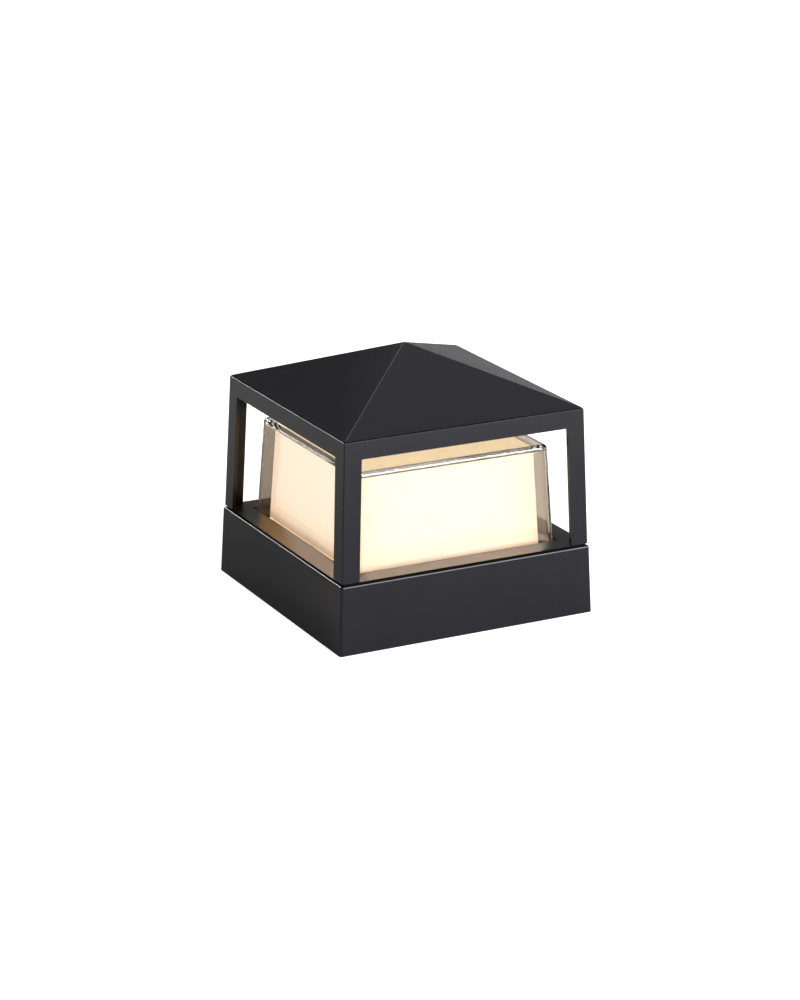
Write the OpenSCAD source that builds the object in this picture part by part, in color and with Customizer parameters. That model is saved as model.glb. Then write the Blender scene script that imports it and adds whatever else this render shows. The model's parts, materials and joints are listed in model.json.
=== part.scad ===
// Deck post cap light: a square skirt that caps the post, and a lift-off head with a
// four-legged frame, a low pyramid roof, a clear cover and a lit opal diffuser.
// Millimetres, +Z up. The origin is the centre of the skirt's foot. The photographed
// faces are -X and -Y, and the side screws are on +X and +Y.

/* [Skirt] */
// Width of the skirt at its open foot
skirt_w = 200; // [192:1:240]
// Height of the skirt
skirt_h = 49.5; // [47:0.5:70]
// Draft of the skirt's walls, in degrees
skirt_draft = 2.25; // [0.5:0.05:3]
// Thickness of the cast walls of the skirt, the frame and the roof
wall_t = 2.8; // [2:0.1:3.2]
// Radius of the skirt's upright corners
skirt_corner_r = 2; // [1.6:0.1:4]
// Radius of the skirt's top outer edge
skirt_edge_r = 1.3; // [0.5:0.1:1.5]
// How far the skirt hangs down past the top of the post
post_sleeve = 15; // [8:0.5:18]
// Side of the square block in each corner that takes a plate screw
corner_block_w = 13; // [11:0.5:16]
// Gap between the corner blocks and the head's spigot
corner_block_gap = 2; // [1:0.1:4]

/* [Head frame] */
// Height of the shadow gap between the skirt and the deck
head_gap = 1.6; // [1:0.1:3]
// How far the frame's foot stands inside the skirt's top edge
frame_inset = 1.15; // [0.5:0.05:2.5]
// Height of the frame above the deck
frame_h = 98.8; // [94:0.1:130]
// Draft of the frame's faces, in degrees
frame_draft = 2.12; // [0.5:0.02:3]
// Radius of the frame's upright corners
frame_corner_r = 0.8; // [0.4:0.1:1.5]
// Width of each leg of the corner posts
leg_w = 13.4; // [9:0.1:16]
// Height of the fascia under the roof
fascia_h = 12.85; // [11:0.05:20]
// Thickness of the deck
deck_t = 3; // [2.4:0.1:4]
// Width of the undercut below the deck's outer edge
undercut_w = 2.5; // [1.8:0.1:2.8]
// Height of the undercut below the deck's outer edge
undercut_h = 1.2; // [0.6:0.1:1.5]
// How far the spigot stands inside the deck's edge
spigot_inset = 6.4; // [5.6:0.1:7.5]
// Depth of the spigot below the deck
spigot_h = 14; // [12.5:0.1:16]
// Side of the square gusset in each corner under the roof
gusset_w = 18; // [14:0.5:24]
// Gap between the gusset's top and the roof's seat
gusset_drop = 2.6; // [1.5:0.1:4]

/* [Roof cap] */
// Height of the roof's apex above its seat
roof_rise = 36.7; // [20:0.1:60]
// How far the roof's edge stands inside the frame's top edge
roof_inset = 0.84; // [0.4:0.02:1.4]
// Height of the roof's square edge
roof_edge_h = 0.58; // [0.3:0.02:1.5]
// Radius of the bosses under the roof
roof_boss_r = 4; // [3.4:0.1:5]

/* [Clear cover] */
// How far the cover stands inside the frame's foot, at deck level
glass_inset = 17.9; // [16.5:0.1:22]
// Height of the cover above the deck
glass_h = 70; // [50:0.5:80]
// Draft of the cover's walls, in degrees
glass_draft = 3.2; // [1:0.1:5]
// Wall thickness of the cover
glass_t = 4; // [3:0.1:4.4]
// Radius of the cover's upright corners
glass_corner_r = 3.6; // [3:0.1:6]
// Radius of the cover's top edge
glass_edge_r = 3.3; // [1.5:0.1:3.5]
// Gap between the cover and the deck's opening
glass_gap = 2.3; // [0.5:0.1:2.6]
// How far the cover's lip reaches under the deck
glass_lip_land = 3.2; // [2:0.1:3.6]
// Thickness of the cover's lip
glass_lip_t = 4; // [3:0.1:5]

/* [Opal diffuser] */
// How far the diffuser stands inside the cover, at deck level
diffuser_inset = 8.6; // [8.4:0.1:14]
// Gap between the diffuser's top and the cover's inside
diffuser_top_gap = 1.6; // [1:0.1:20]
// Draft of the diffuser's walls, in degrees
diffuser_draft = 3; // [1:0.1:5]
// Wall thickness of the diffuser
diffuser_t = 2; // [1.2:0.1:3]
// Radius of the diffuser's upright corners
diffuser_corner_r = 4; // [3.5:0.1:8]
// Radius of the diffuser's top edge
diffuser_edge_r = 2.5; // [1:0.1:3.3]
// Width of the diffuser's foot flange
diffuser_flange_w = 3.6; // [3.5:0.1:3.8]
// Thickness of the diffuser's foot flange
diffuser_flange_t = 2; // [1.5:0.1:3]

/* [Seals] */
// Thickness of the seal between the skirt's ledge and the deck
seat_seal_t = 1.1; // [0.8:0.1:2]
// Thickness of the seal above the cover's lip
upper_seal_t = 1.2; // [0.8:0.1:2]
// Thickness of the seal below the cover's lip
lower_seal_t = 1; // [0.8:0.1:2]

/* [Gear tray] */
// Thickness of the gear tray
tray_t = 2; // [1.5:0.1:3]
// Radius of the bosses that the tray is screwed to
tray_boss_r = 2.6; // [2.3:0.1:2.8]

/* [Lamp board] */
// Distance between the lamp board's edge and the diffuser's inside, at its foot
board_margin = 20.9; // [18.5:0.1:32]
// Thickness of the lamp board
board_t = 1.6; // [1:0.1:2.4]
// Thickness of the heat pad below the board
pad_t = 0.5; // [0.3:0.1:1]
// Lamp chips along each side of the board
chip_count = 5; // [3:1:7]
// Distance between the lamp chips
chip_pitch = 14; // [6:0.5:14]
// Side of each square lamp chip
chip_w = 3; // [2:0.1:4]
// Height of each lamp chip
chip_h = 0.7; // [0.4:0.1:1.5]
// Distance of the board screws from the board's edge
board_screw_edge = 5; // [4:0.5:8]
// Distance between the lead grommet's axis and the diffuser's inside
grommet_margin = 10.9; // [10:0.1:12]
// Distance between the earth stud's axis and the diffuser's inside
stud_margin = 6.9; // [5:0.1:9]

/* [Driver] */
// Length of the driver
driver_l = 86; // [70:1:96]
// Width of the driver
driver_w = 32; // [24:1:36]
// Height of the driver
driver_h = 15; // [12:0.5:17]
// Thickness of the driver's lid
driver_lid_t = 1.5; // [1:0.1:2.5]
// Length of the driver's fixing ears
ear_l = 7; // [6:0.5:7]
// Thickness of the driver's fixing ears
ear_t = 2; // [1.5:0.1:3]
// Distance of the driver from the centre, towards -Y
driver_y = 22; // [20:1:40]

/* [Terminal block] */
// Depth of the terminal block
terminal_w = 14; // [12:0.5:18]
// Height of the terminal block
terminal_h = 12; // [10:0.5:16]
// Distance between the terminals
terminal_pitch = 8; // [7:0.5:10]
// Thickness of the terminal block's end walls
terminal_end = 3; // [2:0.1:5]
// Distance between the terminal block's face and the driver's end, along X
terminal_gap = 2; // [1:0.5:4]
// Distance of the middle terminal from the centre, towards +Y
terminal_y = 27; // [25:1:40]

/* [Mounting plate] */
// Thickness of the mounting plate
plate_t = 2.5; // [2:0.1:3.5]
// Distance between the anchor holes
anchor_spacing = 100; // [70:1:130]
// Radius of the anchor holes
anchor_hole_r = 3.25; // [2:0.05:5]
// Radius of the plate's hole for the cable bush
cable_hole_r = 11; // [8:0.5:16]
// Radius of the bush's bore
bush_bore_r = 5; // [3:0.25:6]
// Thickness of the bush's flange
bush_flange_t = 2; // [1.5:0.1:3]

/* [Screws and leads] */
// Nominal radius of the small screws
small_screw_r = 1.5; // [1.25:0.05:1.6]
// Nominal radius of the roof and plate screws
large_screw_r = 2; // [1.75:0.05:2.25]
// Nominal radius of the side screws
side_screw_r = 2.5; // [2:0.1:3]
// Length of the side screws
side_screw_l = 6; // [4.5:0.1:6.4]
// Thread of the plate screws in the corner blocks
plate_screw_bite = 10; // [5:0.5:11]
// Thread of the roof screws in the roof's bosses
roof_screw_bite = 2; // [1:0.1:2.5]
// Thread of the tray screws in the deck's bosses
tray_screw_bite = 4; // [3:0.1:5]
// Radius of the boss behind each side screw
side_boss_r = 4.5; // [4:0.1:5.5]
// Radius of the thin leads
lead_r = 0.9; // [0.6:0.05:1.1]

/* [Hidden] */
// Fits and clearances
part_gap = 0.3;       // between parts that are lifted past each other
fit_gap = 0.4;        // around plates and seals that are laid in place
thread_gap = 0.03;    // between a fixed screw and its tapped hole, on the radius
turn_gap = 0.05;      // between a side screw and its hole, on the radius
hole_gap = 0.2;       // between a screw and its clearance hole, on the radius
overlap = 0.5;        // how far joined shapes of one casting run into each other
past = 1;             // how far a cutting shape runs past what it cuts
corner_steps = 6;     // facets of a rounded upright corner
edge_steps = 4;       // facets of a rounded top edge
min_r = 0.3;          // smallest radius of an inside corner
$fn = 48;

// Heights
rim_z = skirt_h;
deck_z = rim_z + head_gap;
deck_under_z = deck_z - deck_t;
ledge_z = deck_under_z - seat_seal_t;
spigot_z = deck_under_z - spigot_h;
plate_z = post_sleeve;
plate_top_z = plate_z + plate_t;
block_top_z = spigot_z - corner_block_gap;
lip_top_z = deck_under_z - upper_seal_t;
lip_z = lip_top_z - glass_lip_t;
tray_z = lip_z - lower_seal_t;
tray_under_z = tray_z - tray_t;
fascia_z = deck_z + frame_h - fascia_h;
seat_z = deck_z + frame_h;
gusset_z = seat_z - gusset_drop;
glass_top_z = deck_z + glass_h;
glass_inside_z = glass_top_z - glass_t;
diffuser_top_z = glass_inside_z - diffuser_top_gap;
pad_z = tray_z;
board_z = pad_z + pad_t;
board_top_z = board_z + board_t;
side_screw_z = ledge_z - wall_t - side_boss_r + overlap;

// Half widths, which follow the draft of each wall
function skirt_half(z) = skirt_w / 2 - z * tan(skirt_draft);
deck_half = skirt_half(rim_z) - frame_inset;
function frame_half(z) = deck_half - (z - deck_z) * tan(frame_draft);
glass_half_deck = deck_half - glass_inset;
function glass_half(z) = glass_half_deck - (z - deck_z) * tan(glass_draft);
diffuser_half_deck = glass_half_deck - diffuser_inset;
function diffuser_half(z) = diffuser_half_deck - (z - deck_z) * tan(diffuser_draft);
nest_half = deck_half - undercut_w;
opening_half = glass_half_deck + glass_gap;
spigot_half = deck_half - spigot_inset;
spigot_inner_half = spigot_half - wall_t;
spigot_corner_r = 3;
ledge_half = spigot_half + part_gap;
lip_half = opening_half + glass_lip_land;
tray_half = spigot_inner_half - part_gap;
tray_boss_at = spigot_inner_half - tray_boss_r - fit_gap - overlap;
roof_half = frame_half(seat_z) - roof_inset;
roof_slope = (roof_rise - roof_edge_h) / roof_half;
roof_inner_half = roof_half - (wall_t * sqrt(1 + roof_slope * roof_slope) - roof_edge_h) / roof_slope;
roof_inner_rise = roof_inner_half * roof_slope;
roof_lip_half = frame_half(seat_z) - wall_t - part_gap;
gusset_at = frame_half(seat_z) - wall_t - gusset_w;
roof_screw_at = gusset_at + gusset_w / 2;
plate_half = skirt_half(plate_top_z) - wall_t - fit_gap;
block_at = skirt_half(plate_top_z) - wall_t - corner_block_w;
plate_screw_at = block_at + corner_block_w / 2;

// Screw heads
small_head_r = 1.8 * small_screw_r;
small_head_h = 0.8 * small_screw_r;
large_head_r = 1.9 * large_screw_r;
large_head_h = 1.2 * large_screw_r;
countersunk_r = 2 * large_screw_r;
side_screw_tip = spigot_half + part_gap;
side_boss_end = side_screw_tip + 1.8;
diffuser_screw_r = 0.8 * small_screw_r;
diffuser_head_r = 1.2 * small_screw_r;
chamber_half = diffuser_half(tray_z) - diffuser_t;
board_w = 2 * (chamber_half - board_margin);
board_screw_at = board_w / 2 - board_screw_edge;

// Places of the electrical pieces
grommet_r = 4;
grommet_bore_r = 2.4 * lead_r + 0.6;
grommet_flange_r = grommet_r + 1;
grommet_flange_t = 1.2;
grommet_x = chamber_half - grommet_margin;
lead_apart = 1.25 * lead_r;
lead_y = -driver_y + driver_w / 4 + grommet_flange_r + part_gap;
lead_drop = 7.5;                                // leads below the tray
lead_straight = 0.3;                            // square run at each end of a lead
lead_z = tray_under_z - lead_drop;
supply_y = -driver_y + 4;                       // first supply lead at the driver
supply_apart = 6;                               // between the supply leads there
supply_bow = 20;                                // how far the supply leads bow out
supply_bow_apart = 9;                           // extra bow of the outer one
connector_l = 8;
connector_w = 7;
connector_h = 4;
connector_x = board_w / 2 - connector_l - 1;    // its end nearest the centre
connector_lead_z = board_top_z + connector_h / 2;
terminal_x = -driver_l / 2 - terminal_gap;      // the terminal block's lead face
terminal_l = 3 * terminal_pitch + 2 * terminal_end;
terminal_screw_r = 1.6;
lug_r = 4;
earth_x = -chamber_half + stud_margin;
earth_y = chamber_half - stud_margin - lug_r;
lug_t = 0.8;
barrel_h = 2.6;
barrel_l = 4;
washer_r = 4.4;
washer_t = 1;
nut_r = 4;
nut_h = 3.2;
stud_l = 8;

// ---- Shapes that repeat ----

// Points of a square with rounded corners: g is [height, half width, corner radius].
function ring_points(g, steps) = [
    for (q = [0:3]) for (i = [0:steps])
        let (a = 90 * (q + i / steps), c = g[1] - g[2])
        [(q == 0 || q == 3 ? c : -c) + g[2] * cos(a), (q < 2 ? c : -c) + g[2] * sin(a), g[0]]
];

// A solid through a list of such squares, from the lowest to the highest.
module loft(rings, steps = corner_steps) {
    n = 4 * (steps + 1);
    top = (len(rings) - 1) * n;
    sides = [
        for (k = [0:len(rings) - 2]) for (i = [0:n - 1])
            let (a = k * n + i, b = k * n + (i + 1) % n)
            [a, a + n, b + n, b]
    ];
    polyhedron(
        points = [for (g = rings) each ring_points(g, steps)],
        faces = concat([[for (i = [0:n - 1]) i]], sides, [[for (i = [n - 1:-1:0]) top + i]])
    );
}

// Rings of a rounded top edge: half is the wall's half width at the top.
function edge_rings(z, half, corner_r, edge_r) = [
    for (i = [0:edge_steps])
        let (a = 90 * i / edge_steps, d = edge_r * (1 - cos(a)))
        [z - edge_r + edge_r * sin(a), half - d, max(corner_r - d, min_r)]
];

// A flat square ring.
module square_ring(z, h, outer, inner, outer_r, inner_r) {
    difference() {
        loft([[z, outer, outer_r], [z + h, outer, outer_r]]);
        loft([[z - past, inner, inner_r], [z + h + past, inner, inner_r]]);
    }
}

module at_corners(d) {
    for (x = [-d, d]) for (y = [-d, d]) translate([x, y, 0]) children();
}

// A screw that points up: z is the underside of its head, where the shank begins.
module screw(z, shank_r, shank_l, head_r, head_h) {
    difference() {
        union() {
            translate([0, 0, z - head_h]) cylinder(r = head_r, h = head_h);
            translate([0, 0, z - overlap]) cylinder(r = shank_r, h = shank_l + overlap);
        }
        translate([0, 0, z - head_h - past]) cylinder(r = shank_r, h = past + head_h * 0.6, $fn = 6);
    }
}

// A point of the cubic curve between p[0] and p[3].
function curve(p, t) = pow(1 - t, 3) * p[0] + 3 * t * pow(1 - t, 2) * p[1]
    + 3 * t * t * (1 - t) * p[2] + t * t * t * p[3];
function unit(v) = v / norm(v);

// Points along the curve, which leaves p[0] and reaches p[3] straight.
function route(p, n) = concat(
    [p[0], p[0] + lead_straight * unit(p[1] - p[0])],
    [for (i = [1:n - 1]) curve(p, i / n)],
    [p[3] - lead_straight * unit(p[3] - p[2]), p[3]]
);

// Two routes, where the second starts at the end of the first.
function joined(a, b) = concat(a, [for (i = [1:len(b) - 1]) b[i]]);

// A lead along a list of points. side is a direction that the lead never runs along.
module lead(points, r, side, steps = 8) {
    n = len(points);
    rings = [
        for (i = [0:n - 1])
            let (t = unit(points[min(i + 1, n - 1)] - points[max(i - 1, 0)]),
                 u = unit(cross(t, side)), v = cross(t, u))
            [for (k = [0:steps - 1]) points[i] + r * (cos(360 * k / steps) * u + sin(360 * k / steps) * v)]
    ];
    last = (n - 1) * steps;
    walls = [
        for (i = [0:n - 2]) for (k = [0:steps - 1])
            let (a = i * steps + k, b = i * steps + (k + 1) % steps)
            [a, a + steps, b + steps, b]
    ];
    polyhedron(
        points = [for (g = rings) each g],
        faces = concat([[for (k = [0:steps - 1]) k]], walls, [[for (k = [steps - 1:-1:0]) last + k]])
    );
}

// ---- Base ----

// The skirt: a drafted shell with a ledge for the head and blocks for the plate.
module base_skirt() {
    inner_r = max(skirt_corner_r - wall_t, min_r);
    ledge_outer = skirt_half(ledge_z) - wall_t + overlap;
    color([0.19, 0.19, 0.2]) difference() {
        union() {
            difference() {
                loft(concat(
                    [[0, skirt_half(0), skirt_corner_r]],
                    edge_rings(rim_z, skirt_half(rim_z), skirt_corner_r, skirt_edge_r)
                ));
                loft([
                    [-past, skirt_half(-past) - wall_t, inner_r],
                    [rim_z + past, skirt_half(rim_z + past) - wall_t, inner_r]
                ]);
            }
            square_ring(ledge_z - wall_t, wall_t, ledge_outer, ledge_half, min_r, spigot_corner_r + part_gap);
            at_quadrants() corner_block();
            for (a = [0, 90]) rotate([0, 0, a]) side_boss();
        }
        at_corners(plate_screw_at)
            translate([0, 0, plate_top_z - past]) cylinder(r = large_screw_r, h = plate_screw_bite + 2 + past);
        for (a = [0, 90]) rotate([0, 0, a])
            translate([side_boss_end - past, 0, side_screw_z])
                rotate([0, 90, 0]) cylinder(r = side_screw_r, h = 20);
    }
}

module at_quadrants() {
    for (a = [0:90:270]) rotate([0, 0, a]) children();
}

module corner_block() {
    outer = skirt_half(block_top_z) - wall_t + overlap;
    translate([block_at, block_at, plate_top_z])
        cube([outer - block_at, outer - block_at, block_top_z - plate_top_z]);
}

module side_boss() {
    outer = skirt_half(side_screw_z) - wall_t + overlap;
    translate([side_boss_end, 0, side_screw_z])
        rotate([0, 90, 0]) cylinder(r = side_boss_r, h = outer - side_boss_end);
}

// The plate that is screwed down on the post.
module mounting_plate() {
    color([0.72, 0.73, 0.74]) difference() {
        loft([[plate_z, plate_half, 3], [plate_top_z, plate_half, 3]]);
        at_corners(anchor_spacing / 2)
            translate([0, 0, plate_z - past]) cylinder(r = anchor_hole_r, h = plate_t + 2 * past);
        translate([0, 0, plate_z - past]) cylinder(r = cable_hole_r, h = plate_t + 2 * past);
        at_corners(plate_screw_at) {
            translate([0, 0, plate_z - past]) cylinder(r = large_screw_r + hole_gap, h = plate_t + 2 * past);
            translate([0, 0, plate_z]) cylinder(r1 = countersunk_r, r2 = large_screw_r, h = large_screw_r);
            translate([0, 0, plate_z - past]) cylinder(r = countersunk_r, h = past);
        }
    }
}

// Countersunk screws that hold the plate to the skirt's corner blocks.
module plate_screws() {
    shank_r = large_screw_r - thread_gap;
    color([0.6, 0.6, 0.6]) at_corners(plate_screw_at) difference() {
        union() {
            translate([0, 0, plate_z])
                cylinder(r1 = countersunk_r - hole_gap, r2 = shank_r - hole_gap, h = large_screw_r);
            translate([0, 0, plate_z + overlap]) cylinder(r = shank_r - hole_gap, h = plate_t);
            translate([0, 0, plate_top_z]) cylinder(r = shank_r, h = plate_screw_bite);
        }
        translate([0, 0, plate_z - past]) cylinder(r = 0.6 * large_screw_r, h = past + 1.2, $fn = 6);
    }
}

// The rubber bush that the supply cable comes up through.
module cable_bush() {
    color([0.08, 0.08, 0.08]) translate([0, 0, plate_z]) difference() {
        union() {
            cylinder(r = cable_hole_r, h = plate_t + overlap);
            translate([0, 0, plate_t]) cylinder(r = cable_hole_r + 3, h = bush_flange_t);
        }
        translate([0, 0, -past]) cylinder(r = bush_bore_r, h = plate_t + bush_flange_t + 2 * past);
    }
}

// The seal that the head's deck rests on.
module seat_seal() {
    color([0.06, 0.06, 0.06]) square_ring(
        ledge_z, seat_seal_t, nest_half, ledge_half + part_gap, min_r, spigot_corner_r + 2 * part_gap
    );
}

// A socket set screw in the skirt's wall, whose tip clamps the head's spigot.
module side_screw() {
    color([0.55, 0.55, 0.56]) translate([side_screw_tip, 0, side_screw_z]) rotate([0, 90, 0]) difference() {
        union() {
            cylinder(r1 = side_screw_r - 0.6, r2 = side_screw_r - turn_gap, h = 0.6);
            translate([0, 0, 0.6]) cylinder(r = side_screw_r - turn_gap, h = side_screw_l - 0.6);
        }
        translate([0, 0, side_screw_l - 2.4]) cylinder(r = 0.55 * side_screw_r, h = 2.4 + past, $fn = 6);
    }
}

module side_screw_right() { side_screw(); }

module side_screw_back() { rotate([0, 0, 90]) side_screw(); }

// ---- Head ----

// The frame: deck, spigot, four L-section posts, fascia and corner gussets.
module head_frame() {
    low = deck_half - leg_w;
    high = frame_half(fascia_z) - leg_w;
    inner_r = min_r;
    color([0.2, 0.2, 0.21]) difference() {
        union() {
            difference() {
                loft([[deck_z - 0.01, deck_half, frame_corner_r], [seat_z, frame_half(seat_z), frame_corner_r]]);
                loft([
                    [deck_z - past, frame_half(deck_z - past) - wall_t, inner_r],
                    [seat_z + past, frame_half(seat_z + past) - wall_t, inner_r]
                ]);
                for (a = [0, 90]) rotate([90, 0, a]) linear_extrude(height = 2 * skirt_w, center = true)
                    polygon([[-low, deck_z], [low, deck_z], [high, fascia_z], [-high, fascia_z]]);
            }
            difference() {
                loft([
                    [deck_under_z, nest_half, min_r],
                    [deck_z - undercut_h, nest_half, min_r],
                    [deck_z, deck_half, frame_corner_r]
                ]);
                translate([-opening_half, -opening_half, deck_under_z - past])
                    cube([2 * opening_half, 2 * opening_half, deck_t + 2 * past]);
            }
            square_ring(
                spigot_z, spigot_h + overlap, spigot_half, spigot_inner_half, spigot_corner_r, 1
            );
            at_corners(tray_boss_at) translate([0, 0, tray_z])
                cylinder(r = tray_boss_r, h = deck_under_z - tray_z + overlap);
            at_quadrants() gusset();
        }
        at_corners(tray_boss_at) translate([0, 0, tray_z - past])
            cylinder(r = small_screw_r, h = deck_under_z - tray_z + past);
        at_corners(roof_screw_at) translate([0, 0, gusset_z - wall_t - past])
            cylinder(r = large_screw_r + hole_gap, h = wall_t + 2 * past);
    }
}

module gusset() {
    outer = frame_half(gusset_z) - wall_t + overlap;
    translate([gusset_at, gusset_at, gusset_z - wall_t])
        cube([outer - gusset_at, outer - gusset_at, wall_t]);
}

// The roof: a hollow pyramid with a square edge, a locating lip and four bosses.
module roof_cap() {
    apex_half = 0.4;
    module pyramid(half, rise) {
        polyhedron(
            points = [
                [-half, -half, 0], [half, -half, 0], [half, half, 0], [-half, half, 0], [0, 0, rise]
            ],
            faces = [[0, 1, 2, 3], [1, 0, 4], [2, 1, 4], [3, 2, 4], [0, 3, 4]]
        );
    }
    color([0.16, 0.16, 0.17]) difference() {
        union() {
            difference() {
                union() {
                    translate([-roof_half, -roof_half, seat_z])
                        cube([2 * roof_half, 2 * roof_half, roof_edge_h]);
                    translate([0, 0, seat_z + roof_edge_h]) pyramid(roof_half, roof_rise - roof_edge_h);
                }
                translate([0, 0, seat_z]) pyramid(roof_inner_half, roof_inner_rise);
            }
            square_ring(
                gusset_z, gusset_drop + overlap, roof_lip_half, roof_lip_half - wall_t,
                min_r, min_r
            );
            intersection() {
                at_corners(roof_screw_at) translate([0, 0, gusset_z])
                    cylinder(r = roof_boss_r, h = roof_rise);
                translate([0, 0, gusset_z]) pyramid(
                    roof_inner_half + (gusset_drop + overlap) / roof_slope,
                    roof_inner_rise + gusset_drop + overlap
                );
            }
        }
        at_corners(roof_screw_at) translate([0, 0, gusset_z - past])
            cylinder(r = large_screw_r, h = gusset_drop + roof_screw_bite + 2 * past);
    }
}

module roof_screws() {
    color([0.55, 0.55, 0.56]) at_corners(roof_screw_at)
        screw(gusset_z - wall_t, large_screw_r - thread_gap, wall_t + gusset_drop + roof_screw_bite, large_head_r, large_head_h);
}

// The cut around the tray bosses, for what lies between them.
module boss_clearance(z, h) {
    at_corners(tray_boss_at) translate([0, 0, z - past])
        cylinder(r = tray_boss_r + fit_gap, h = h + 2 * past);
}

// The clear cover: a drafted box with a rounded top edge and a lip under the deck.
module glass_cover() {
    inner_r = max(glass_corner_r - glass_t, 1);
    color([0.8, 0.85, 0.85, 0.35]) difference() {
        union() {
            loft(concat(
                [[lip_z, glass_half(lip_z), glass_corner_r]],
                edge_rings(glass_top_z, glass_half(glass_top_z), glass_corner_r, glass_edge_r)
            ));
            loft([[lip_z, lip_half, glass_corner_r], [lip_top_z, lip_half, glass_corner_r]]);
        }
        loft([
            [lip_z - past, glass_half(lip_z - past) - glass_t, inner_r],
            [glass_inside_z, glass_half(glass_inside_z) - glass_t, inner_r]
        ]);
        boss_clearance(lip_z, glass_lip_t);
    }
}

module glass_seal_upper() {
    color([0.07, 0.07, 0.07]) difference() {
        square_ring(lip_top_z, upper_seal_t, lip_half - hole_gap, opening_half + hole_gap, glass_corner_r, min_r);
        boss_clearance(lip_top_z, upper_seal_t);
    }
}

module glass_seal_lower() {
    color([0.07, 0.07, 0.07]) difference() {
        square_ring(
            tray_z, lower_seal_t, lip_half - hole_gap, glass_half(lip_z) - glass_t + part_gap,
            glass_corner_r, 1
        );
        boss_clearance(tray_z, lower_seal_t);
    }
}

// The opal diffuser: a thin drafted box, open below, on a foot flange.
module opal_diffuser() {
    flange_half = diffuser_half(tray_z) + diffuser_flange_w;
    inner_r = max(diffuser_corner_r - diffuser_t, min_r);
    inside_z = diffuser_top_z - diffuser_t;
    color([0.98, 0.94, 0.86]) difference() {
        union() {
            loft(concat(
                [[tray_z, diffuser_half(tray_z), diffuser_corner_r]],
                edge_rings(diffuser_top_z, diffuser_half(diffuser_top_z), diffuser_corner_r, diffuser_edge_r)
            ));
            loft([
                [tray_z, flange_half, diffuser_corner_r],
                [tray_z + diffuser_flange_t, flange_half, diffuser_corner_r]
            ]);
        }
        loft([
            [tray_z - past, diffuser_half(tray_z - past) - diffuser_t, inner_r],
            [inside_z, diffuser_half(inside_z) - diffuser_t, inner_r]
        ]);
        at_sides(diffuser_screw_at()) translate([0, 0, tray_z - past])
            cylinder(r = diffuser_screw_r + hole_gap, h = diffuser_flange_t + 2 * past);
    }
}

function diffuser_screw_at() = diffuser_half(tray_z) + diffuser_flange_w / 2;

module at_sides(d) {
    at_quadrants() translate([d, 0, 0]) children();
}

// Screws that point down through the diffuser's flange into the tray.
module diffuser_screws() {
    color([0.6, 0.6, 0.6]) at_sides(diffuser_screw_at())
        translate([0, 0, tray_z + diffuser_flange_t]) mirror([0, 0, 1])
            screw(
                0, diffuser_screw_r - thread_gap, diffuser_flange_t + tray_t - hole_gap,
                diffuser_head_r - thread_gap, small_head_h
            );
}

// The tray that closes the lamp chamber and carries the gear.
module gear_tray() {
    color([0.75, 0.76, 0.77]) difference() {
        loft([[tray_under_z, tray_half, 1], [tray_z, tray_half, 1]]);
        at_corners(tray_boss_at) tray_hole(small_screw_r + hole_gap);
        at_sides(diffuser_screw_at()) tray_hole(diffuser_screw_r);
        at_corners(board_screw_at) tray_hole(small_screw_r);
        translate([grommet_x, lead_y, 0]) tray_hole(grommet_r);
        at_driver_ears() tray_hole(small_screw_r);
        at_terminal_fixings() tray_hole(small_screw_r);
        translate([earth_x, earth_y, 0]) tray_hole(large_screw_r);
    }
}

module tray_hole(r) {
    translate([0, 0, tray_under_z - past]) cylinder(r = r, h = tray_t + 2 * past);
}

module tray_screws() {
    color([0.6, 0.6, 0.6]) at_corners(tray_boss_at)
        screw(tray_under_z, small_screw_r - thread_gap, tray_t + tray_screw_bite, small_head_r, small_head_h);
}

// The rubber grommet in the tray, round the lamp leads.
module lead_grommet() {
    color([0.1, 0.1, 0.1]) translate([grommet_x, lead_y, 0]) difference() {
        union() {
            translate([0, 0, tray_under_z - overlap]) cylinder(r = grommet_r, h = tray_t + 2 * overlap);
            translate([0, 0, tray_under_z - grommet_flange_t]) cylinder(r = grommet_flange_r, h = grommet_flange_t);
            translate([0, 0, tray_z]) cylinder(r = grommet_flange_r, h = grommet_flange_t);
        }
        translate([0, 0, tray_under_z - 2 * past]) cylinder(r = grommet_bore_r, h = tray_t + 4 * past);
    }
}

// ---- Lamp board ----

module board_sheet(z, h) {
    difference() {
        translate([-board_w / 2, -board_w / 2, z]) cube([board_w, board_w, h]);
        at_corners(board_screw_at) translate([0, 0, z - past])
            cylinder(r = small_screw_r + hole_gap, h = h + 2 * past);
    }
}

module heat_pad() { color([0.55, 0.6, 0.68]) board_sheet(pad_z, pad_t); }

module led_board() { color([0.93, 0.93, 0.9]) board_sheet(board_z, board_t); }

module led_chips() {
    first = -(chip_count - 1) * chip_pitch / 2;
    color([0.95, 0.85, 0.4]) for (i = [0:chip_count - 1]) for (j = [0:chip_count - 1])
        translate([first + i * chip_pitch - chip_w / 2, first + j * chip_pitch - chip_w / 2, board_top_z])
            cube([chip_w, chip_w, chip_h]);
}

module led_board_screws() {
    color([0.6, 0.6, 0.6]) at_corners(board_screw_at) translate([0, 0, board_top_z]) mirror([0, 0, 1])
        screw(0, small_screw_r - thread_gap, board_t + pad_t + tray_t - hole_gap, small_head_r, small_head_h);
}

module led_connector() {
    color([0.9, 0.9, 0.88]) translate([connector_x, lead_y - connector_w / 2, board_top_z])
        cube([connector_l, connector_w, connector_h]);
}

// ---- Driver ----

module at_driver_ears() {
    for (s = [-1, 1]) translate([s * (driver_l / 2 + ear_l / 2), -driver_y, 0]) children();
}

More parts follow.
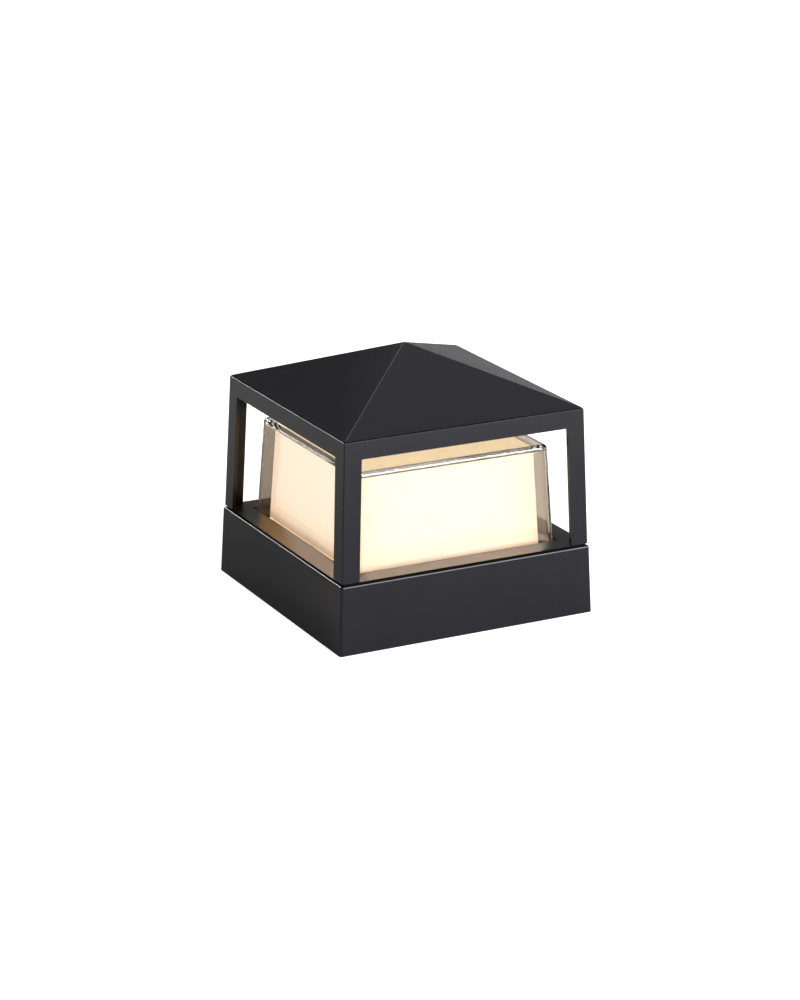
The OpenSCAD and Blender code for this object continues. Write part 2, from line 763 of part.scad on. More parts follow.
module driver_case() {
    case_h = driver_h - driver_lid_t;
    color([0.85, 0.85, 0.83]) difference() {
        union() {
            translate([-driver_l / 2, -driver_y - driver_w / 2, tray_under_z - case_h])
                cube([driver_l, driver_w, case_h]);
            translate([-driver_l / 2 - ear_l, -driver_y - driver_w / 4, tray_under_z - ear_t])
                cube([driver_l + 2 * ear_l, driver_w / 2, ear_t]);
        }
        at_driver_ears() translate([0, 0, tray_under_z - ear_t - past])
            cylinder(r = small_screw_r + hole_gap, h = ear_t + 2 * past);
    }
}

module driver_lid() {
    color([0.8, 0.8, 0.78]) translate([-driver_l / 2, -driver_y - driver_w / 2, tray_under_z - driver_h])
        cube([driver_l, driver_w, driver_lid_t]);
}

module driver_screws() {
    color([0.6, 0.6, 0.6]) at_driver_ears()
        screw(tray_under_z - ear_t, small_screw_r - thread_gap, ear_t + tray_t - hole_gap, small_head_r, small_head_h);
}

// ---- Terminals and earth ----

function pole_y(i) = terminal_y + i * terminal_pitch;

module at_terminal_fixings() {
    for (i = [-0.5, 0.5]) translate([terminal_x + terminal_w / 2, pole_y(i), 0]) children();
}

module at_clamps() {
    for (x = [0.25, 0.75]) for (i = [-1:1]) translate([terminal_x + x * terminal_w, pole_y(i), 0]) children();
}

module terminal_block() {
    color([0.92, 0.92, 0.9]) difference() {
        translate([terminal_x, terminal_y - terminal_l / 2, tray_under_z - terminal_h])
            cube([terminal_w, terminal_l, terminal_h]);
        at_terminal_fixings() {
            translate([0, 0, tray_under_z - terminal_h - past])
                cylinder(r = small_screw_r + hole_gap, h = terminal_h + 2 * past);
            translate([0, 0, tray_under_z - terminal_h - past])
                cylinder(r = small_head_r + hole_gap / 2, h = small_head_h + past);
        }
        at_clamps() translate([0, 0, tray_under_z - terminal_h - past])
            cylinder(r = terminal_screw_r, h = 4 + past);
    }
}

module terminal_clamp_screws() {
    color([0.75, 0.7, 0.5]) at_clamps() translate([0, 0, tray_under_z - terminal_h + 1]) difference() {
        cylinder(r = terminal_screw_r - thread_gap, h = 3);
        translate([-terminal_screw_r, -0.3, -past]) cube([2 * terminal_screw_r, 0.6, past + 0.8]);
    }
}

module terminal_fixing_screws() {
    color([0.6, 0.6, 0.6]) at_terminal_fixings()
        screw(
            tray_under_z - terminal_h + small_head_h, small_screw_r - thread_gap,
            terminal_h - small_head_h + tray_t - hole_gap, small_head_r, small_head_h
        );
}

module earth_stud() {
    color([0.8, 0.7, 0.4]) translate([earth_x, earth_y, 0]) {
        translate([0, 0, tray_under_z - stud_l]) cylinder(r = large_screw_r - thread_gap, h = stud_l + tray_t + overlap);
        translate([0, 0, tray_z]) cylinder(r = large_head_r, h = 1.5);
    }
}

module earth_washer() {
    color([0.8, 0.8, 0.8]) translate([earth_x, earth_y, tray_under_z - lug_t - washer_t]) difference() {
        cylinder(r = washer_r, h = washer_t);
        translate([0, 0, -past]) cylinder(r = large_screw_r + hole_gap, h = washer_t + 2 * past);
    }
}

module earth_nut() {
    color([0.75, 0.75, 0.75]) translate([earth_x, earth_y, tray_under_z - lug_t - washer_t - nut_h]) difference() {
        cylinder(r = nut_r, h = nut_h, $fn = 6);
        translate([0, 0, -past]) cylinder(r = large_screw_r, h = nut_h + 2 * past);
    }
}

// ---- Leads ----

// From the driver's end, up through the grommet and back to the board's connector.
module led_leads() {
    x0 = driver_l / 2;
    x1 = connector_x + connector_l;
    mid_z = tray_z + 1;
    up = [
        [x0, 0, lead_z], [grommet_x - 3, 0, lead_z], [grommet_x, 0, lead_z], [grommet_x, 0, mid_z - 3]
    ];
    over = [
        [grommet_x, 0, mid_z - 3], [grommet_x, 0, connector_lead_z - 1], [grommet_x - 2, 0, connector_lead_z],
        [x1, 0, connector_lead_z]
    ];
    color([0.7, 0.12, 0.1]) for (s = [-1, 1]) translate([0, lead_y + s * lead_apart, 0])
        lead(joined(route(up, 10), route(over, 12)), lead_r, [0, 1, 0]);
}

// From the driver's other end round to the live and neutral terminals.
module supply_leads() {
    color([0.15, 0.3, 0.6]) for (i = [0, 1]) {
        y0 = supply_y - supply_apart * i;
        y1 = pole_y(i - 1);
        far = terminal_x - supply_bow - supply_bow_apart * i;
        points = [
            [-driver_l / 2, y0, lead_z], [far, y0, lead_z], [far, y1, lead_z], [terminal_x, y1, lead_z]
        ];
        lead(route(points, 20), lead_r, [0, 0, 1]);
    }
}

// From the earth terminal to the ring lug on the earth stud.
module earth_lead() {
    y0 = pole_y(1);
    barrel_y = earth_y - washer_r - part_gap - barrel_l;
    barrel_z = tray_under_z - barrel_h / 2;
    points = [
        [terminal_x, y0, lead_z], [earth_x, y0, lead_z],
        [earth_x, barrel_y - 8, barrel_z], [earth_x, barrel_y + overlap, barrel_z]
    ];
    color([0.35, 0.6, 0.15]) {
        lead(route(points, 16), lead_r, [0, 0, 1]);
        translate([earth_x - barrel_h / 2, barrel_y, tray_under_z - barrel_h])
            cube([barrel_h, barrel_l, barrel_h]);
        translate([0, 0, tray_under_z - lug_t]) difference() {
            union() {
                translate([earth_x, earth_y, 0]) cylinder(r = lug_r, h = lug_t);
                translate([earth_x - barrel_h / 2, barrel_y, 0]) cube([barrel_h, earth_y - barrel_y, lug_t]);
            }
            translate([earth_x, earth_y, -past]) cylinder(r = large_screw_r + hole_gap, h = lug_t + 2 * past);
        }
    }
}

base_skirt();
mounting_plate();
plate_screws();
cable_bush();
seat_seal();
side_screw_right();
side_screw_back();
head_frame();
roof_cap();
roof_screws();
glass_cover();
glass_seal_upper();
glass_seal_lower();
opal_diffuser();
diffuser_screws();
gear_tray();
tray_screws();
lead_grommet();
heat_pad();
led_board();
led_chips();
led_board_screws();
led_connector();
driver_case();
driver_lid();
driver_screws();
terminal_block();
terminal_clamp_screws();
terminal_fixing_screws();
earth_stud();
earth_washer();
earth_nut();
led_leads();
supply_leads();
earth_lead();
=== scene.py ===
"""Looks of the deck post cap light: its cast frame, clear cover, lit diffuser and gear.

Metres, +Z up. The origin is the centre of the skirt's foot.
"""

import json
import math

import bmesh
import bpy
from mathutils import Matrix, Vector

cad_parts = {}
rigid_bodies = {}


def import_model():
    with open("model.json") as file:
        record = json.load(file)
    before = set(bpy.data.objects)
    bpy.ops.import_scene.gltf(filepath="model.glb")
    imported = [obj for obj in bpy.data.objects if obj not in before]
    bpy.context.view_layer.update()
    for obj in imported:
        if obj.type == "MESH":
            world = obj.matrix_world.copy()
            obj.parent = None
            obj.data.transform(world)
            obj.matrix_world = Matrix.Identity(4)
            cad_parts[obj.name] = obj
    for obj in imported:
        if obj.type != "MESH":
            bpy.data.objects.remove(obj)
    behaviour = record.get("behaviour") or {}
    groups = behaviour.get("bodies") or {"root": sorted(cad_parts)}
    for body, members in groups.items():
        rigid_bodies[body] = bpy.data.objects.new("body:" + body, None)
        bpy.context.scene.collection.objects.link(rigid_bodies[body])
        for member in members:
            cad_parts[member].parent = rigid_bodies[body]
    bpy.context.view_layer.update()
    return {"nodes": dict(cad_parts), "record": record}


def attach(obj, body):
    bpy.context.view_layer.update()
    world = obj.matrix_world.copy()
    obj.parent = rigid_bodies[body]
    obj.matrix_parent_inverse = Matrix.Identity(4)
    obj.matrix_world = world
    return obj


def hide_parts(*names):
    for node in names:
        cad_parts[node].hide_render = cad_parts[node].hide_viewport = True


for leftover in list(bpy.data.objects):
    bpy.data.objects.remove(leftover)

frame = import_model()
MM = 0.001
DECK_Z = 51.1  # mm, the top of the head's deck

# ---- Camera, from the photograph's corners ----

CAMERA_AT = Vector((-0.92667, -1.77387, 0.73159))
CAMERA_BACK = Vector((-0.44028, -0.84280, 0.30958)).normalized()
CAMERA_ROLL = math.radians(0.321)
CAMERA_LENS = 105.635
CAMERA_SHIFT = (-0.003137, -0.014777)


def add_camera():
    data = bpy.data.cameras.new("camera")
    data.lens = CAMERA_LENS
    data.sensor_width = 36.0
    data.shift_x, data.shift_y = CAMERA_SHIFT
    camera = bpy.data.objects.new("camera", data)
    right = (-CAMERA_BACK).cross(Vector((0, 0, 1))).normalized()
    up = right.cross(-CAMERA_BACK)
    side = math.cos(CAMERA_ROLL) * right + math.sin(CAMERA_ROLL) * up
    top = math.cos(CAMERA_ROLL) * up - math.sin(CAMERA_ROLL) * right
    turn = Matrix((side, top, CAMERA_BACK)).transposed().to_4x4()
    camera.matrix_world = Matrix.Translation(CAMERA_AT) @ turn
    bpy.context.scene.collection.objects.link(camera)
    bpy.context.scene.camera = camera


add_camera()

# ---- Node materials ----


def add_node(tree, kind, inputs=None, **settings):
    node = tree.nodes.new(kind)
    for key, value in settings.items():
        setattr(node, key, value)
    for key, value in (inputs or {}).items():
        node.inputs[key].default_value = value
    return node


def noise(tree, scale, detail):
    """A noise texture in the object's own coordinates, in metres."""
    place = add_node(tree, "ShaderNodeTexCoord")
    texture = add_node(
        tree, "ShaderNodeTexNoise", {"Scale": scale, "Detail": detail, "Roughness": 0.5}
    )
    tree.links.new(place.outputs["Object"], texture.inputs["Vector"])
    return texture


def ramp(tree, source, *stops):
    """A colour ramp over a 0 to 1 value; each stop is a position and a colour."""
    node = add_node(tree, "ShaderNodeValToRGB")
    elements = node.color_ramp.elements
    for i, (position, colour) in enumerate(stops):
        element = elements[i] if i < len(elements) else elements.new(position)
        element.position = position
        element.color = (*colour, 1.0)
    tree.links.new(source, node.inputs["Fac"])
    return node.outputs["Color"]


def stretch(tree, source, start, end):
    """Maps start to end onto 0 to 1, and holds it there."""
    node = add_node(tree, "ShaderNodeMapRange", {"From Min": start, "From Max": end})
    tree.links.new(source, node.inputs["Value"])
    return node.outputs["Result"]


def blend(tree, kind, factor, first, second):
    """Mixes two colours; each is an output or a colour."""
    node = add_node(tree, "ShaderNodeMix", data_type="RGBA", blend_type=kind)
    for socket, value in ((0, factor), (6, first), (7, second)):
        if isinstance(value, bpy.types.NodeSocket):
            tree.links.new(value, node.inputs[socket])
        else:
            node.inputs[socket].default_value = value
    return node.outputs[2]


def part_of(tree, source, axis):
    """One axis of a vector."""
    node = add_node(tree, "ShaderNodeSeparateXYZ")
    tree.links.new(source, node.inputs[0])
    return node.outputs[axis]


def maths(tree, kind, *values):
    """A maths node over outputs or numbers."""
    node = add_node(tree, "ShaderNodeMath", operation=kind)
    for socket, value in enumerate(values):
        if isinstance(value, bpy.types.NodeSocket):
            tree.links.new(value, node.inputs[socket])
        else:
            node.inputs[socket].default_value = value
    return node.outputs[0]


def span(tree, source, low, high):
    """Maps a 0 to 1 value to low to high."""
    node = add_node(tree, "ShaderNodeMapRange")
    node.inputs["To Min"].default_value = low
    node.inputs["To Max"].default_value = high
    tree.links.new(source, node.inputs["Value"])
    return node.outputs["Result"]


def bump(tree, shader, source, height):
    """Gives a shader's surface a relief, height metres deep."""
    node = add_node(tree, "ShaderNodeBump", {"Strength": 1.0, "Distance": height})
    tree.links.new(source, node.inputs["Height"])
    tree.links.new(node.outputs["Normal"], shader.inputs["Normal"])


def new_material(name):
    made = bpy.data.materials.new(name)
    made.use_nodes = True
    tree = made.node_tree
    return made, tree, tree.nodes["Principled BSDF"]


CLOUDS = (0.35, 0.65)  # where a noise texture's value turns from the darker colour to the lighter
GLOSS_SPREAD = 0.06  # the share by which the roughness varies, up and down


def coated(name, colour, roughness, spread, scale, grain, height=0.00002, **sockets):
    """A painted, moulded or plated finish: cloudy colour, uneven gloss and a fine grain.

    spread is the clouds' share of the colour, scale and grain are the noises' scales, and
    height is the grain's depth in metres.
    """
    made, tree, shader = new_material(name)
    clouds = noise(tree, scale, 4.0).outputs["Fac"]
    low = tuple(c * (1 - spread) for c in colour)
    high = tuple(min(1.0, c * (1 + spread)) for c in colour)
    colours = ramp(tree, clouds, (CLOUDS[0], low), (CLOUDS[1], high))
    tree.links.new(colours, shader.inputs["Base Color"])
    gloss = span(tree, clouds, roughness * (1 - GLOSS_SPREAD), roughness * (1 + GLOSS_SPREAD))
    tree.links.new(gloss, shader.inputs["Roughness"])
    bump(tree, shader, noise(tree, grain, 2.0).outputs["Fac"], height)
    for key, value in sockets.items():
        shader.inputs[key.replace("_", " ")].default_value = value
    return made


COAT = (0.0062, 0.0060, 0.0096)
MATERIALS = {
    "powder_coat": coated(
        "powder_coat", COAT, 0.25, 0.06, 45.0, 1500.0, 0.000012, Specular_IOR_Level=0.3
    ),
    "aluminium_plate": coated(
        "aluminium_plate", (0.46, 0.47, 0.48), 0.55, 0.05, 80.0, 2600.0, Metallic=1.0
    ),
    "steel": coated("steel", (0.55, 0.55, 0.56), 0.3, 0.05, 300.0, 3000.0, Metallic=1.0),
    "rubber": coated("rubber", (0.022, 0.022, 0.022), 0.75, 0.2, 200.0, 2500.0, 0.00004),
    "heat_pad": coated("heat_pad", (0.34, 0.42, 0.5), 0.8, 0.08, 150.0, 1800.0, 0.00003),
    "board_white": coated("board_white", (0.82, 0.82, 0.78), 0.35, 0.03, 120.0, 2500.0),
    "lamp_chip": coated("lamp_chip", (0.93, 0.78, 0.26), 0.45, 0.06, 900.0, 4000.0),
    "driver_plastic": coated(
        "driver_plastic", (0.74, 0.74, 0.71), 0.5, 0.04, 90.0, 2200.0, 0.00004
    ),
    "terminal_plastic": coated("terminal_plastic", (0.8, 0.79, 0.74), 0.45, 0.04, 160.0, 2400.0),
    "brass": coated("brass", (0.78, 0.6, 0.28), 0.28, 0.06, 300.0, 3000.0, Metallic=1.0),
    "red_lead": coated("red_lead", (0.5, 0.03, 0.025), 0.4, 0.05, 200.0, 2500.0),
    "blue_lead": coated("blue_lead", (0.03, 0.1, 0.42), 0.4, 0.05, 200.0, 2500.0),
    "green_lead": coated("green_lead", (0.15, 0.36, 0.04), 0.4, 0.05, 200.0, 2500.0),
}

DECK_NEAR = 0.0006  # m, how far from the deck's height a face may be
DECK_FLAT = 0.9  # the least upward part of its normal
DECK_ROUGHER = 0.45  # share added to its roughness


def roughen_deck(made):
    """Makes the head's flat deck, round the cover, less glossy than the other faces."""
    tree = made.node_tree
    shader = tree.nodes["Principled BSDF"]
    place = add_node(tree, "ShaderNodeTexCoord")
    height = part_of(tree, place.outputs["Object"], "Z")
    near = maths(tree, "COMPARE", height, DECK_Z * MM, DECK_NEAR)
    flat = maths(tree, "GREATER_THAN", part_of(tree, place.outputs["Normal"], "Z"), DECK_FLAT)
    more = maths(tree, "MULTIPLY_ADD", maths(tree, "MULTIPLY", near, flat), DECK_ROUGHER, 1.0)
    even = shader.inputs["Roughness"].links[0].from_socket
    tree.links.new(maths(tree, "MULTIPLY", even, more), shader.inputs["Roughness"])


roughen_deck(MATERIALS["powder_coat"])

GLASS_TINT = (0.71, 0.64, 0.555, 1.0)
OPAL = ((0.53, 0.51, 0.46), (0.57, 0.55, 0.5))
# The lit diffuser's light, as shares of its strength: up its walls, to their corners and on top.
GLOW_LEVEL = 1.72
GLOW_HEIGHTS = (0.045, 0.085)  # m, the heights that GLOW_RISE runs between
GLOW_REACH = (0.020, 0.070)  # m from the middle of a wall, the same for GLOW_ACROSS
GLOW_UPWARD = (0.3, 0.9)  # upward part of the normal, from a wall's light to GLOW_TOP
GLOW_RISE = (
    (0.02, (0.41, 0.29, 0.21)),
    (0.125, (0.58, 0.46, 0.37)),
    (0.21, (0.82, 0.68, 0.57)),
    (0.33, (0.85, 0.745, 0.62)),
    (0.55, (0.85, 0.785, 0.70)),
)
GLOW_ACROSS = (
    (0.0, (1.0, 1.0, 1.0)),
    (0.5, (1.0, 0.98, 0.96)),
    (0.8, (0.99, 0.94, 0.91)),
    (1.0, (0.96, 0.88, 0.83)),
)
GLOW_TOP = (1.0, 0.85, 0.59, 1.0)


def glass_material():
    made, tree, shader = new_material("clear_cover")
    shader.inputs["Base Color"].default_value = GLASS_TINT
    shader.inputs["Transmission Weight"].default_value = 1.0
    shader.inputs["IOR"].default_value = 1.5
    marks = noise(tree, 220.0, 4.0)
    tree.links.new(span(tree, marks.outputs["Fac"], 0.0, 0.012), shader.inputs["Roughness"])
    bump(tree, shader, noise(tree, 25.0, 1.0).outputs["Fac"], 0.00003)
    return made


def opal_material():
    made, tree, shader = new_material("opal")
    clouds = noise(tree, 30.0, 2.0).outputs["Fac"]
    colours = ramp(tree, clouds, (CLOUDS[0], OPAL[0]), (CLOUDS[1], OPAL[1]))
    tree.links.new(colours, shader.inputs["Base Color"])
    shader.inputs["Roughness"].default_value = 0.4
    place = add_node(tree, "ShaderNodeTexCoord")
    spot = place.outputs["Object"]
    rise = stretch(tree, part_of(tree, spot, "Z"), *GLOW_HEIGHTS)
    from_x, from_y = (maths(tree, "ABSOLUTE", part_of(tree, spot, axis)) for axis in "XY")
    reach = stretch(tree, maths(tree, "MINIMUM", from_x, from_y), *GLOW_REACH)
    walls = blend(
        tree, "MULTIPLY", 1.0, ramp(tree, rise, *GLOW_RISE), ramp(tree, reach, *GLOW_ACROSS)
    )
    facing_up = stretch(tree, part_of(tree, place.outputs["Normal"], "Z"), *GLOW_UPWARD)
    tree.links.new(blend(tree, "MIX", facing_up, walls, GLOW_TOP), shader.inputs["Emission Color"])
    shader.inputs["Emission Strength"].default_value = GLOW_LEVEL
    bump(tree, shader, noise(tree, 1800.0, 2.0).outputs["Fac"], 0.00001)
    return made


MATERIALS["clear_cover"] = glass_material()
MATERIALS["opal"] = opal_material()

slot_of = {row["node"]: row["material_slot"] for row in frame["record"]["subparts"]}
for node_name, node_object in frame["nodes"].items():
    for slot in node_object.material_slots:
        slot.material = MATERIALS[slot_of[node_name]]

# ---- Pieces ----


def finish_mesh(name, shape, slot_name, body, node, sharp_angle=35.0):
    """Turns a bmesh into a piece that stands for a CAD node and rides on its body."""
    for face in shape.faces:
        face.smooth = True
    for edge in shape.edges:
        edge.smooth = not (edge.is_manifold and edge.calc_face_angle() > math.radians(sharp_angle))
    data = bpy.data.meshes.new(name)
    shape.to_mesh(data)
    shape.free()
    piece = bpy.data.objects.new(name, data)
    bpy.context.scene.collection.objects.link(piece)
    data.materials.append(MATERIALS[slot_name])
    normals = piece.modifiers.new("normals", "WEIGHTED_NORMAL")
    normals.keep_sharp = True
    normals.weight = 60
    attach(piece, body)
    if node:
        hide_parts(node)
    return piece


def square(z, half, radius, steps):
    """Points of a square with round corners, at height z."""
    points = []
    for quarter in range(4):
        sx = 1 if quarter in (0, 3) else -1
        sy = 1 if quarter < 2 else -1
        for i in range(steps + 1):
            angle = math.radians(90 * (quarter + i / steps))
            points.append((
                sx * (half - radius) + radius * math.cos(angle),
                sy * (half - radius) + radius * math.sin(angle), z
            ))
    return points


ARC_STEPS = 8  # points less one on each rounding of an outline
CORNER_STEPS = 12  # the same on each upright corner


def rounded_path(path):
    """Rounds a list of (half, z, corner radius, fillet radius) and drops its two end points."""
    rings = []
    for before, (half, z, corner, fillet), after in zip(path, path[1:-1], path[2:]):
        here = Vector((half, z))
        come = (Vector(before[:2]) - here).normalized()
        leave = (Vector(after[:2]) - here).normalized()
        opening = come.angle(leave)
        reach = fillet / math.tan(opening / 2)
        middle = here + (come + leave).normalized() * (fillet / math.sin(opening / 2))
        first = here + come * reach - middle
        last = here + leave * reach - middle
        turn = math.pi - opening
        for i in range(ARC_STEPS + 1):
            part = i / ARC_STEPS
            spot = (
                math.sin((1 - part) * turn) * first + math.sin(part * turn) * last
            ) / math.sin(turn) + middle
            rings.append((spot.y, spot.x, max(corner + spot.x - half, 0.3)))
    return rings


def hollow_box(path):
    """A box, open below: path runs from its top's centre, down the outside, and up the inside."""
    shape = bmesh.new()
    rings = [
        [shape.verts.new(Vector(p) * MM) for p in square(z, half, radius, CORNER_STEPS)]
        for z, half, radius in rounded_path(path)
    ]
    count = len(rings[0])
    for upper, lower in zip(rings, rings[1:]):
        for i in range(count):
            shape.faces.new((upper[i], lower[i], lower[(i + 1) % count], upper[(i + 1) % count]))
    shape.faces.new(rings[0])
    shape.faces.new(list(reversed(rings[-1])))
    bmesh.ops.recalc_face_normals(shape, faces=shape.faces)
    return shape


def drafted(half, degrees, z):
    """Half width at z of a wall that is half wide at the deck."""
    return half - (z - DECK_Z) * math.tan(math.radians(degrees))


def add_glass():
    """The clear cover, with the flange that is held below the deck."""
    foot, draft, wall, corner = 79.6, 3.2, 2.0, 3.6
    flange, flange_corner, inner_corner = 84.5, 9.0, 2.1
    top, ceiling, flange_top, seat = 121.1, 117.1, 46.9, 42.9
    path = [
        (0, top, 0, 0),
        (drafted(foot, draft, top), top, corner, 3.3),
        (drafted(foot, draft, flange_top), flange_top, corner, 0.8),
        (flange, flange_top, flange_corner, 0.5),
        (flange, seat, flange_corner, 0.5),
        (drafted(foot, draft, seat) - wall, seat, inner_corner, 0.4),
        (drafted(foot, draft, ceiling) - wall, ceiling, inner_corner, 1.2),
        (0, ceiling, 0, 0),
    ]
    return finish_mesh("clear_cover", hollow_box(path), "clear_cover", "head", "glass_cover", 80)


def add_diffuser():
    """The opal diffuser, with the flange that its screws hold."""
    foot, draft, wall, corner, inner_corner = 71.9, 3.0, 2.0, 4.0, 2.0
    top, flange_top, seat = 115.5, 43.9, 41.9
    ceiling = top - wall
    flange = drafted(foot, draft, seat) + 2.1
    # The foot is drawn in, to stand clear of the heads of the screws in its flange.
    neck, neck_low, neck_top = 70.78, 45.4, 46.6
    path = [
        (0, top, 0, 0),
        (drafted(foot, draft, top), top, corner, 2.5),
        (drafted(foot, draft, neck_top), neck_top, corner, 0.3),
        (neck, neck_low, corner, 0.3),
        (neck, flange_top, corner, 0.1),
        (flange, flange_top, corner, 0.4),
        (flange, seat, corner, 0.3),
        (neck - wall, seat, inner_corner, 0.3),
        (neck - wall, neck_low, inner_corner, 0.3),
        (drafted(foot, draft, neck_top) - wall, neck_top, inner_corner, 0.3),
        (drafted(foot, draft, ceiling) - wall, ceiling, inner_corner, 1.5),
        (0, ceiling, 0, 0),
    ]
    return finish_mesh("opal_diffuser_lit", hollow_box(path), "opal", "head", "opal_diffuser", 80)


def add_shading_gasket():
    """A dark rubber lip that closes the gap between the cover and the deck; its dark rubber also
    paints the shade in that gap.
    """
    profile = (
        # half width, height and corner radius
        (79.72, 48.1, 3.7),
        (81.22, 48.1, 0.5),
        (81.22, 50.3, 0.5),
        (80.9, 50.6, 0.7),
        (80.0, 50.6, 3.5),
        (79.68, 50.3, 3.7),
    )
    shape = bmesh.new()
    rings = [
        [shape.verts.new(Vector(p) * MM) for p in square(z, half, radius, 8)]
        for half, z, radius in profile
    ]
    count = len(rings[0])
    for outer, inner in zip(rings, rings[1:] + rings[:1]):
        for i in range(count):
            shape.faces.new((outer[i], inner[i], inner[(i + 1) % count], outer[(i + 1) % count]))
    bmesh.ops.recalc_face_normals(shape, faces=shape.faces)
    return finish_mesh("shading_gasket_lip", shape, "rubber", "head", None, 60)


WELD = 0.015 * MM  # CAD points closer than this are joined
FLAT = math.radians(0.6)  # and faces that turn less than this
WELD_AFTER, SLIVER = 0.004 * MM, 0.002 * MM  # the same for points and edges once it is rounded


def cast_piece(name, node, body, roundings, change=None):
    """A copy of a cast CAD node with its outer edges rounded.

    Each rounding is a width in mm, the least angle between faces, and a test of an edge.
    """
    shape = bmesh.new()
    shape.from_mesh(frame["nodes"][node].data)
    bmesh.ops.remove_doubles(shape, verts=shape.verts, dist=WELD)
    bmesh.ops.dissolve_limit(shape, angle_limit=FLAT, verts=shape.verts, edges=shape.edges)
    if change:
        change(shape)
    for width, least, chosen in roundings:
        edges = [
            e for e in shape.edges
            if e.is_manifold and e.calc_face_angle_signed() > math.radians(least) and chosen(e)
        ]
        bmesh.ops.bevel(
            shape, geom=edges, offset=width * MM, offset_type="OFFSET", segments=3, profile=0.32,
            affect="EDGES", clamp_overlap=True, loop_slide=False
        )
    bmesh.ops.remove_doubles(shape, verts=shape.verts, dist=WELD_AFTER)
    bmesh.ops.dissolve_degenerate(shape, edges=shape.edges, dist=SLIVER)
    bmesh.ops.triangulate(shape, faces=[f for f in shape.faces if len(f.verts) > 4])
    return finish_mesh(name, shape, "powder_coat", body, node)


def spans(edge, low, high):
    """Whether an edge lies between two heights."""
    return all(low <= v.co.z <= high for v in edge.verts)


def reaches(edge, least):
    """Whether an edge stands at least so far out."""
    return all(max(abs(v.co.x), abs(v.co.y)) > least for v in edge.verts)


ROOF_FOOT = 0.1499  # m, the height of the roof's foot
ROOF_EDGE = 0.0918  # m from the axis, inside which its points stay
ROOF_DRAWN_IN = 0.989


def cut_under(shape):
    """Draws the roof's foot in, which leaves a fine shadow line above the fascia."""
    for vert in shape.verts:
        out = max(abs(vert.co.x), abs(vert.co.y))
        if abs(vert.co.z - ROOF_FOOT) < 0.00005 and out > ROOF_EDGE:
            vert.co.x *= ROOF_DRAWN_IN
            vert.co.y *= ROOF_DRAWN_IN


# Where the castings' edges lie: ranges of height, and distances from the axis, in metres.
SKIRT_FOOT = (-1, 0.0005)
SCREW_HOLES = (0.036, 0.045)
SKIRT_FACE = 0.098
SKIRT_RIM = (0.0494, 0.06)
FRAME_FACE = 0.0885
FASCIA_TOP = (0.1498, 0.16)
FASCIA_FACE = 0.09
EAVE = (0.1499, 0.152)
ROOF_SLOPES = (0.1502, 0.2)

add_glass()
add_diffuser()
# The gasket lip is both a seal and a dark piece that paints the shade in the gap round the cover.
add_shading_gasket()
cast_piece("cast_skirt", "base_skirt", "base", (
    (1.4, 25, lambda e: spans(e, *SKIRT_RIM)),
    (0.4, 40, lambda e: spans(e, *SKIRT_FOOT) or spans(e, *SCREW_HOLES) and reaches(e, SKIRT_FACE)),
))
cast_piece("cast_frame", "head_frame", "head", (
    (0.8, 25, lambda e: spans(e, *FASCIA_TOP) and reaches(e, FASCIA_FACE)),
    (0.35, 40, lambda e: reaches(e, FRAME_FACE)),
))
cast_piece("cast_roof", "roof_cap", "head", (
    (0.4, 20, lambda e: spans(e, *ROOF_SLOPES) and not spans(e, *EAVE)),
    (0.15, 40, lambda e: spans(e, *EAVE)),
), cut_under)

# ---- Floor and light ----

FLOOR_GREY = (0.64, 0.64, 0.64, 1.0)
FLOOR_SHOWN = (
    # ray, strength near the object and far off, and the distances in metres
    ("Is Camera Ray", 0.85, 1.0, 0.5, 2.0),
    ("Is Transmission Ray", 0.0, 0.6, 0.4, 1.2),
    ("Is Glossy Ray", 0.0, 0.03, 0.22, 0.65),
)
WORLD_LEVEL = 0.05


def add_floor():
    """A pale floor that shows white to the camera, in the glass and, far off, in reflections."""
    made, tree, shader = new_material("floor")
    shader.inputs["Base Color"].default_value = FLOOR_GREY
    shader.inputs["Roughness"].default_value = 0.9
    shader.inputs["Specular IOR Level"].default_value = 0.1
    shader.inputs["Emission Color"].default_value = (1, 1, 1, 1)
    path = add_node(tree, "ShaderNodeLightPath")
    place = add_node(tree, "ShaderNodeTexCoord")
    reach = add_node(tree, "ShaderNodeVectorMath", operation="LENGTH")
    tree.links.new(place.outputs["Object"], reach.inputs[0])
    shown = 0.0
    for ray, near, far, start, end in FLOOR_SHOWN:
        distance = stretch(tree, reach.outputs["Value"], start, end)
        glow = maths(tree, "MULTIPLY_ADD", distance, far - near, near)
        shown = maths(tree, "MAXIMUM", shown, maths(tree, "MULTIPLY", glow, path.outputs[ray]))
    tree.links.new(shown, shader.inputs["Emission Strength"])
    data = bpy.data.meshes.new("floor")
    size, z = 30.0, -0.0002
    corners = [(-size, -size, z), (size, -size, z), (size, size, z), (-size, size, z)]
    data.from_pydata(corners, [], [(0, 1, 2, 3)])
    floor = bpy.data.objects.new("floor", data)
    data.materials.append(made)
    bpy.context.scene.collection.objects.link(floor)


def add_world():
    """A dim world for the light, which shows white to the camera and through the cover."""
    world = bpy.data.worlds.new("studio")
    world.use_nodes = True
    tree = world.node_tree
    light = tree.nodes["Background"]
    light.inputs["Color"].default_value = (0.97, 0.98, 1.0, 1.0)
    light.inputs["Strength"].default_value = WORLD_LEVEL
    white = add_node(tree, "ShaderNodeBackground", {"Color": (1, 1, 1, 1), "Strength": 1.0})
    path = add_node(tree, "ShaderNodeLightPath")
    shown = maths(
        tree, "MAXIMUM", path.outputs["Is Camera Ray"], path.outputs["Is Transmission Ray"]
    )
    mix = add_node(tree, "ShaderNodeMixShader")
    tree.links.new(shown, mix.inputs["Fac"])
    tree.links.new(light.outputs[0], mix.inputs[1])
    tree.links.new(white.outputs[0], mix.inputs[2])
    tree.links.new(mix.outputs[0], tree.nodes["World Output"].inputs["Surface"])
    bpy.context.scene.world = world


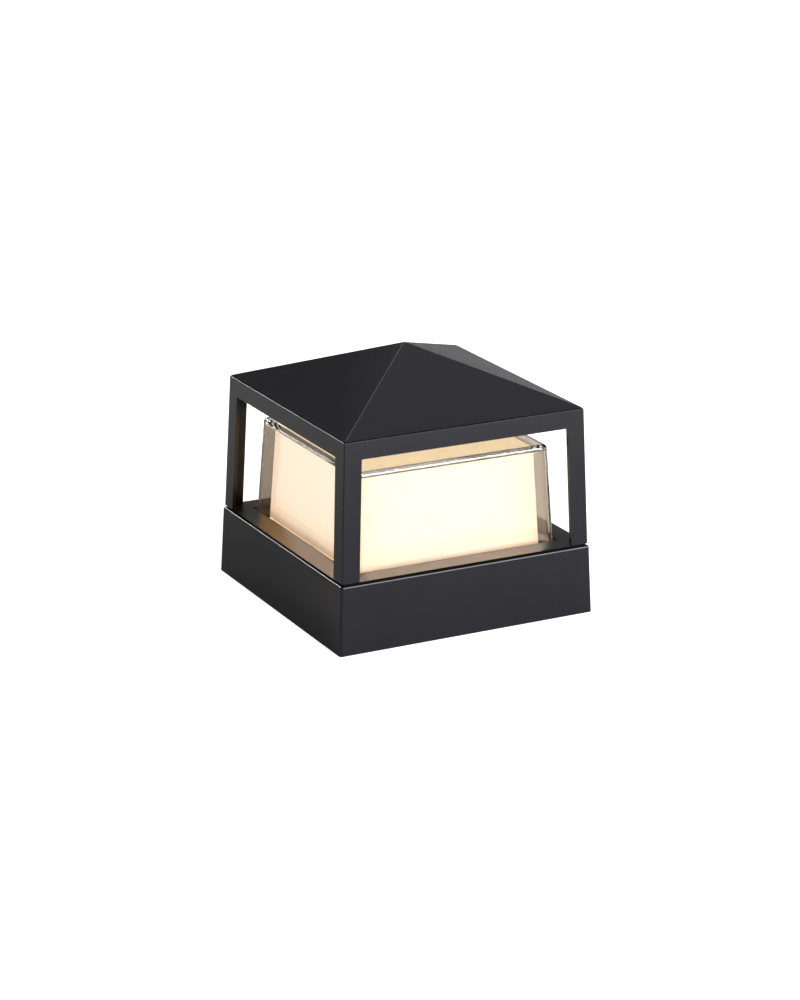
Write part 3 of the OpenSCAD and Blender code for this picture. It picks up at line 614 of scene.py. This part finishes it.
def add_lamp(name, place, aim, width, height, power, colour=(1, 1, 1)):
    data = bpy.data.lights.new(name, "AREA")
    data.shape = "RECTANGLE"
    data.size, data.size_y = width, height
    data.energy = power
    data.color = colour
    lamp = bpy.data.objects.new(name, data)
    lamp.location = place
    lamp.rotation_euler = (Vector(aim) - Vector(place)).to_track_quat("-Z", "Y").to_euler()
    bpy.context.scene.collection.objects.link(lamp)
    return lamp


LAMPS = [
    # name, place, width, height, watts
    ("behind_left", (-0.68, 2.35, 1.4), 0.5, 0.45, 32.0),
    ("behind_high", (0.6, 1.9, 2.0), 0.8, 0.8, 3.8),
    ("behind_right", (1.25, 2.35, 0.95), 0.9, 0.4, 0.8),
    ("left_low", (-2.6, 1.2, 0.5), 1.4, 0.7, 7.0),
    ("front_right", (1.6, -2.2, 1.6), 1.4, 1.4, 126.0),
    ("front_low", (0.9, -2.6, 0.5), 1.6, 0.8, 58.0),
    ("high_right", (1.3, 1.2, 2.0), 1.0, 1.0, 1.6),
    ("high_mid", (0.4, 1.1, 2.2), 0.9, 0.9, 2.0),
]
LAMP_AIM = (0, 0, 0.1)
SPILL_COLOUR = (1.0, 0.45, 0.06)
SPILL_WATTS = 0.028
SPILL_OUT, SPILL_UP = 0.0800, 0.0815  # m from the axis, and above the foot
SPILL_WIDTH, SPILL_HEIGHT = 0.140, 0.058


def add_spill():
    """The warm light that the lit cover throws on the deck and the posts."""
    for turn in range(4):
        angle = math.radians(90 * turn)
        way = Vector((math.cos(angle), math.sin(angle), 0))
        place = way * SPILL_OUT + Vector((0, 0, SPILL_UP))
        lamp = add_lamp(
            f"spill_{turn}", place, place + way,
            SPILL_WIDTH, SPILL_HEIGHT, SPILL_WATTS, SPILL_COLOUR
        )
        lamp.visible_camera = False
        lamp.visible_transmission = False
        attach(lamp, "head")


add_floor()
add_world()
for name, place, width, height, watts in LAMPS:
    add_lamp(name, place, LAMP_AIM, width, height, watts)
add_spill()

BOUNCES = 64  # the light in the cover's walls turns back and forth many times before it leaves

scene = bpy.context.scene
scene.view_settings.view_transform = "Standard"
scene.cycles.max_bounces = BOUNCES
scene.cycles.glossy_bounces = BOUNCES
scene.cycles.transmission_bounces = BOUNCES
